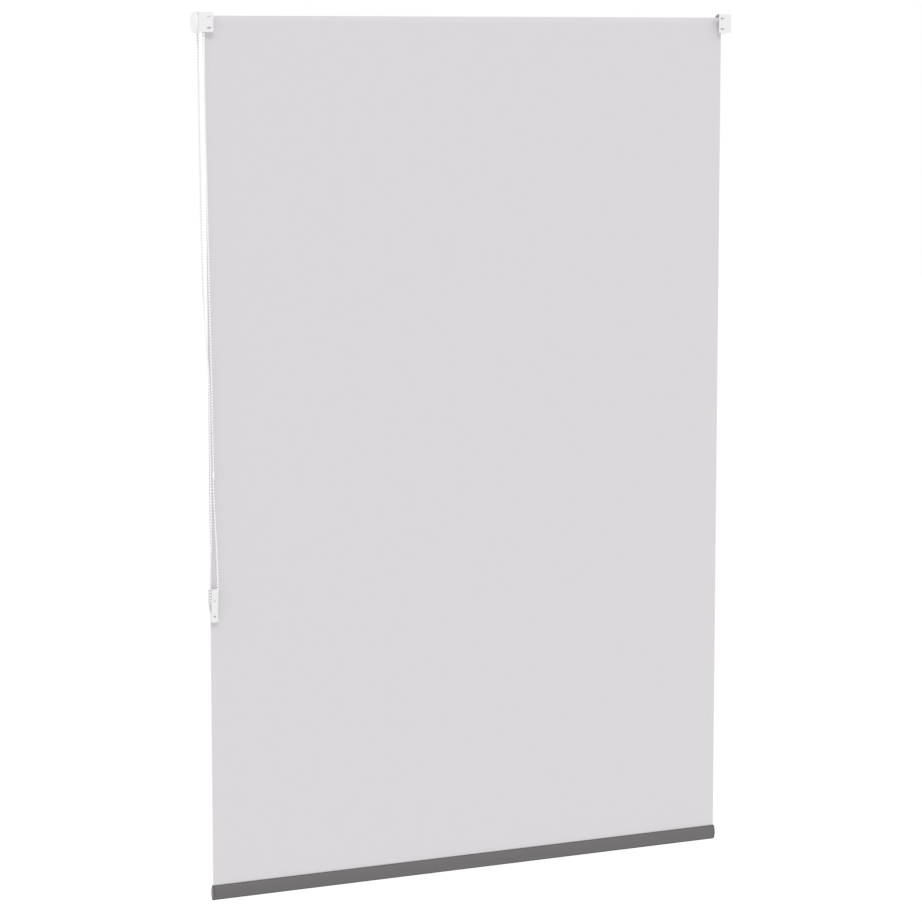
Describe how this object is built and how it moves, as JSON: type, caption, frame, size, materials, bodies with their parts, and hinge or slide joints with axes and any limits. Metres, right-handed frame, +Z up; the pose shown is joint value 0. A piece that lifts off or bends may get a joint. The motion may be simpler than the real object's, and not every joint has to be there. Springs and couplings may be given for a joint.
{
  "type": "roller blind",
  "caption": "Chain-operated roller blind: light fabric on a tube between two wall brackets, grey oval bottom bar, bead chain loop with a tensioner.",
  "frame": {"origin": "on the wall, midway between the two brackets, at the height of the tube's axis: the centre of the four fixing slots", "axes": "+X along the tube away from the chain end, +Y from the wall into the room, +Z up"},
  "size_m": [1.204, 0.05, 1.802],
  "materials": {
    "bracket_steel": "white powder coat, satin",
    "cover_plastic": "white moulded plastic, satin",
    "chain_plastic": "white moulded beads on polyester cord",
    "connector_plastic": "white translucent barrel",
    "mechanism_plastic": "light grey acetal",
    "spring_steel": "drawn spring wire",
    "tube_aluminium": "mill finish extrusion",
    "fabric": "light grey plain weave, coated",
    "bar_aluminium": "grey anodised, satin",
    "bar_plastic": "grey moulded plastic",
    "pin_steel": "turned steel"
  },
  "bodies": {
    "root": {"left_bracket": "bracket_steel", "right_bracket": "bracket_steel", "left_cover": "cover_plastic", "right_cover": "cover_plastic", "chain_guard": "mechanism_plastic", "clutch_hub": "mechanism_plastic", "clutch_retainer": "mechanism_plastic", "clutch_screw": "pin_steel", "fabric_sheet": "fabric", "idle_bush": "mechanism_plastic", "tensioner_body": "cover_plastic", "tensioner_front": "cover_plastic", "tensioner_axle": "pin_steel", "bead_chain": "chain_plastic", "chain_connector": "connector_plastic"},
    "roller": {"chain_wheel": "mechanism_plastic", "drive_core": "mechanism_plastic", "wrap_spring_outer": "spring_steel", "wrap_spring_inner": "spring_steel", "roller_tube": "tube_aluminium", "tube_cord": "mechanism_plastic", "wound_fabric": "fabric", "idle_plug": "mechanism_plastic", "idle_plug_stopper": "mechanism_plastic", "pin_spring": "spring_steel"},
    "idle_pin": {"idle_pin": "pin_steel"},
    "bottom_bar": {"bottom_bar": "bar_aluminium", "bar_cap_left": "bar_plastic", "bar_cap_right": "bar_plastic", "bar_spline": "mechanism_plastic"},
    "guide_wheel": {"guide_wheel": "mechanism_plastic"}
  },
  "joints": [
    {"name": "roller_spin", "type": "hinge", "parent": "root", "child": "roller", "pos_m": [0, 0.0285, 0], "axis": [-1, 0, 0], "range_deg": [0, 6048]},
    {"name": "bar_lift", "type": "slide", "parent": "root", "child": "bottom_bar", "axis": [0, 0, 1], "range_m": [0, 1.7155], "deforming": ["fabric_sheet"]},
    {"name": "pin_push", "type": "slide", "parent": "roller", "child": "idle_pin", "axis": [1, 0, 0], "range_m": [-0.008, 0], "stiffness_N_per_m": 600, "springref_m": 0.006, "deforming": ["pin_spring"]},
    {"name": "guide_spin", "type": "hinge", "parent": "root", "child": "guide_wheel", "pos_m": [-0.579, 0.00415, -1.158], "axis": [0, -1, 0], "range_deg": [0, 12130]}
  ],
  "couplings": [
    {"joint": "bar_lift", "follows": "roller_spin", "m_per_rad": 0.01625},
    {"joint": "guide_spin", "follows": "roller_spin", "ratio": 2.0042}
  ]
}
